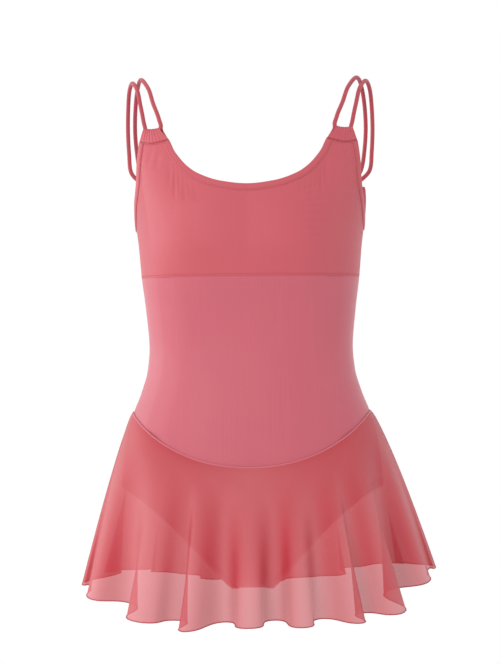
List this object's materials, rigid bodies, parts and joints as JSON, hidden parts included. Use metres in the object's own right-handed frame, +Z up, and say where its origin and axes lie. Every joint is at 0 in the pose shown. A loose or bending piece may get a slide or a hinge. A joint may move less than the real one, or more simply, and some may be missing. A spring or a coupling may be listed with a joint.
{
  "type": "skirted ballet leotard",
  "caption": "Camisole ballet leotard in its worn shape, with looped cord straps through gathered tunnels, a mesh midriff and a sheer flared skirt sewn to a dipped hip seam.",
  "frame": {"origin": "midway between the wearer's shoulders, level with the tops of the straps", "axes": "+Z up along the body, -Y the front of the dress, +X the wearer's left side"},
  "size_m": [0.424, 0.3835, 0.6388],
  "materials": {
    "opaque_knit": "soft matte stretch knit",
    "power_mesh": "fine ribbed stretch mesh, lined",
    "sheer_mesh": "sheer soft stretch mesh",
    "cord": "rolled knit tube"
  },
  "bodies": {
    "root": {"front_bust": "opaque_knit", "front_midriff": "power_mesh", "back_bodice": "opaque_knit", "front_brief": "opaque_knit", "back_brief": "opaque_knit", "skirt_front": "sheer_mesh", "skirt_back": "sheer_mesh", "neck_band_front": "opaque_knit", "neck_band_back": "opaque_knit", "armhole_band_left": "opaque_knit", "armhole_band_right": "opaque_knit", "leg_band_left": "opaque_knit", "leg_band_right": "opaque_knit", "strap_tunnel_left": "opaque_knit", "strap_tunnel_right": "opaque_knit", "strap_left": "cord", "strap_right": "cord"}
  },
  "joints": []
}
